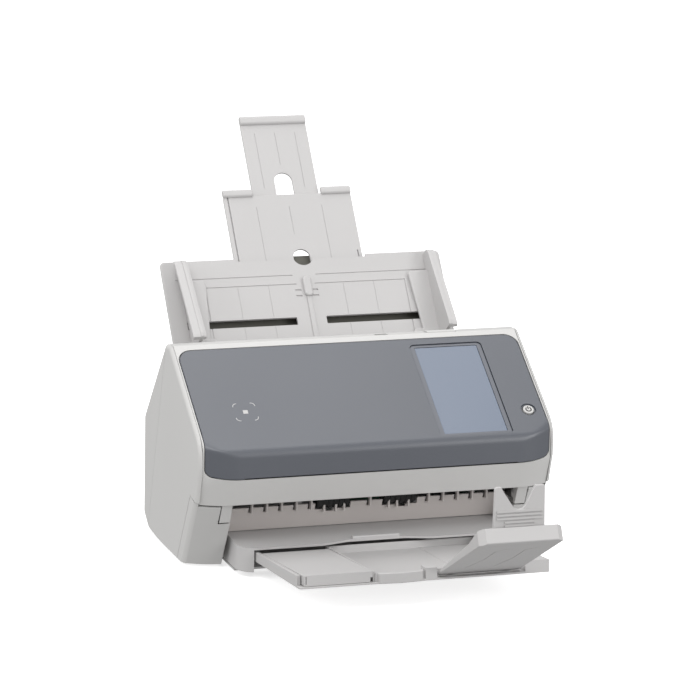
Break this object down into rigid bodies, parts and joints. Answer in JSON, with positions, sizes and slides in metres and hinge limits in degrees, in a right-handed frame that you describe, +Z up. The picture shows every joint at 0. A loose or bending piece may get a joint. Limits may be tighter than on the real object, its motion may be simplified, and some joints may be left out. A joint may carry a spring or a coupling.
{
  "type": "sheet fed document scanner",
  "caption": "Desktop sheet fed scanner with sloping touch panel, opening feeder cover, leaning paper chute with guides and extensions, and a pull-out stacker with a raised stopper.",
  "frame": {"origin": "middle of the underside of the object's bounding box, on the desk plane, with the stacker pulled out and the chute extensions up", "axes": "+X to the object's right across the paper width as seen from the front, +Y to the rear, +Z up"},
  "size_m": [0.3, 0.5224, 0.3194],
  "materials": {
    "shell_white": "fine grain, satin",
    "light_grey": "fine grain, satin",
    "panel_grey": "fine grain, matte",
    "bezel_grey": "smooth",
    "screen_glass": "unlit display under a clear cover",
    "scan_glass": "clear",
    "dark_plastic": "matte",
    "rubber_black": "matte",
    "steel": "brushed",
    "board_green": "solder resist"
  },
  "bodies": {
    "base": {"bottom_chassis": "light_grey", "rubber_foot_front_left": "rubber_black", "rubber_foot_front_right": "rubber_black", "rubber_foot_rear_left": "rubber_black", "rubber_foot_rear_right": "rubber_black", "side_cover_left": "shell_white", "side_cover_right": "shell_white", "rear_cover": "shell_white", "power_inlet": "dark_plastic", "usb_socket": "steel", "network_socket": "steel", "front_pillar_left": "shell_white", "front_pillar_right": "shell_white", "cover_hinge_pin_left": "steel", "cover_hinge_pin_right": "steel", "lower_paper_guide": "dark_plastic", "exit_wall": "light_grey", "lower_scan_glass": "scan_glass", "lower_image_sensor": "dark_plastic", "exit_bearing_left": "light_grey", "exit_bearing_right": "light_grey", "pick_bearing_left": "light_grey", "pick_bearing_right": "light_grey", "drive_motor": "steel", "drive_belt": "rubber_black", "main_board": "board_green", "exit_tray": "light_grey", "paper_chute": "light_grey", "chute_back_cover": "light_grey"},
    "feeder_cover": {"feeder_cover_shell": "shell_white", "operator_panel": "panel_grey", "display_bezel": "bezel_grey", "touch_screen": "screen_glass", "display_board": "board_green", "card_reader_board": "board_green", "upper_paper_guide": "dark_plastic", "upper_scan_glass": "scan_glass", "upper_image_sensor": "dark_plastic"},
    "pick_shaft": {"pick_roller": "rubber_black", "pick_pulley": "dark_plastic"},
    "exit_shaft": {"exit_roller": "rubber_black", "exit_pulley": "dark_plastic"},
    "motor_shaft": {"motor_pulley": "dark_plastic"},
    "exit_idlers": {"exit_idler_roller": "rubber_black"},
    "brake": {"brake_roller": "rubber_black"},
    "power_key": {"power_button": "shell_white"},
    "release_key": {"cover_release_tab": "shell_white"},
    "extension_1": {"chute_extension_1": "light_grey"},
    "extension_2": {"chute_extension_2": "light_grey"},
    "guide_left": {"side_guide_left": "light_grey"},
    "guide_right": {"side_guide_right": "light_grey"},
    "pinion": {"guide_pinion": "dark_plastic"},
    "stacker": {"stacker_frame": "light_grey"},
    "left_extension": {"stacker_left_extension": "light_grey"},
    "carriage": {"flap_carriage": "light_grey"},
    "flap": {"stacker_flap": "light_grey"},
    "stopper": {"stopper_plate": "light_grey"}
  },
  "joints": [
    {"name": "feeder_cover_hinge", "type": "hinge", "parent": "base", "child": "feeder_cover", "pos_m": [0, -0.03604, 0.054], "axis": [1, 0, 0], "range_deg": [0, 82]},
    {"name": "cover_release_press", "type": "slide", "parent": "feeder_cover", "child": "release_key", "axis": [0, 0, -1], "range_m": [0, 0.002], "stiffness_N_per_m": 400, "springref_m": -0.001},
    {"name": "power_button_press", "type": "slide", "parent": "feeder_cover", "child": "power_key", "axis": [0, 0.5519, -0.8339], "range_m": [0, 0.0006], "stiffness_N_per_m": 600, "springref_m": -0.0006},
    {"name": "pick_roller_spin", "type": "hinge", "parent": "base", "child": "pick_shaft", "pos_m": [0, 0.07096, 0.0946], "axis": [1, 0, 0], "continuous": true},
    {"name": "exit_roller_spin", "type": "hinge", "parent": "base", "child": "exit_shaft", "pos_m": [0, -0.01504, 0.053], "axis": [1, 0, 0], "continuous": true},
    {"name": "motor_spin", "type": "hinge", "parent": "base", "child": "motor_shaft", "pos_m": [0, 0.04196, 0.048], "axis": [1, 0, 0], "continuous": true},
    {"name": "exit_idler_spin", "type": "hinge", "parent": "feeder_cover", "child": "exit_idlers", "pos_m": [0, -0.01954, 0.07], "axis": [1, 0, 0], "continuous": true},
    {"name": "brake_roller_spin", "type": "hinge", "parent": "feeder_cover", "child": "brake", "pos_m": [0, 0.06316, 0.1104], "axis": [1, 0, 0], "continuous": true},
    {"name": "chute_extension_1_slide", "type": "slide", "parent": "base", "child": "extension_1", "axis": [0, 0.6101, 0.7923], "range_m": [-0.067, 0]},
    {"name": "chute_extension_2_slide", "type": "slide", "parent": "extension_1", "child": "extension_2", "axis": [0, 0.6101, 0.7923], "range_m": [-0.068, 0]},
    {"name": "side_guide_left_slide", "type": "slide", "parent": "base", "child": "guide_left", "axis": [1, 0, 0], "range_m": [0, 0.082]},
    {"name": "side_guide_right_slide", "type": "slide", "parent": "base", "child": "guide_right", "axis": [1, 0, 0], "range_m": [-0.082, 0]},
    {"name": "guide_pinion_turn", "type": "hinge", "parent": "base", "child": "pinion", "pos_m": [0, 0.13506, 0.16354], "axis": [0, 0.7923, -0.6101], "range_deg": [0, 1090]},
    {"name": "stacker_slide", "type": "slide", "parent": "base", "child": "stacker", "axis": [0, 0.9962, -0.0875], "range_m": [0, 0.09]},
    {"name": "left_extension_slide", "type": "slide", "parent": "stacker", "child": "left_extension", "axis": [0, 0.9962, -0.0875], "range_m": [-0.095, 0]},
    {"name": "flap_carriage_slide", "type": "slide", "parent": "stacker", "child": "carriage", "axis": [0, 0.9962, -0.0875], "range_m": [0, 0.092]},
    {"name": "stacker_flap_tilt", "type": "hinge", "parent": "carriage", "child": "flap", "pos_m": [0, -0.16504, 0.0272], "axis": [1, 0, 0], "range_deg": [0, 22.6]},
    {"name": "stopper_plate_fold", "type": "hinge", "parent": "flap", "child": "stopper", "pos_m": [0, -0.25092, 0.07589], "axis": [-1, 0, 0], "range_deg": [0, 117]}
  ],
  "couplings": [
    {"joint": "exit_roller_spin", "follows": "pick_roller_spin", "ratio": 1},
    {"joint": "motor_spin", "follows": "pick_roller_spin", "ratio": 1},
    {"joint": "side_guide_right_slide", "follows": "side_guide_left_slide", "ratio": -1},
    {"joint": "guide_pinion_turn", "follows": "side_guide_left_slide", "rad_per_m": 229.88}
  ]
}
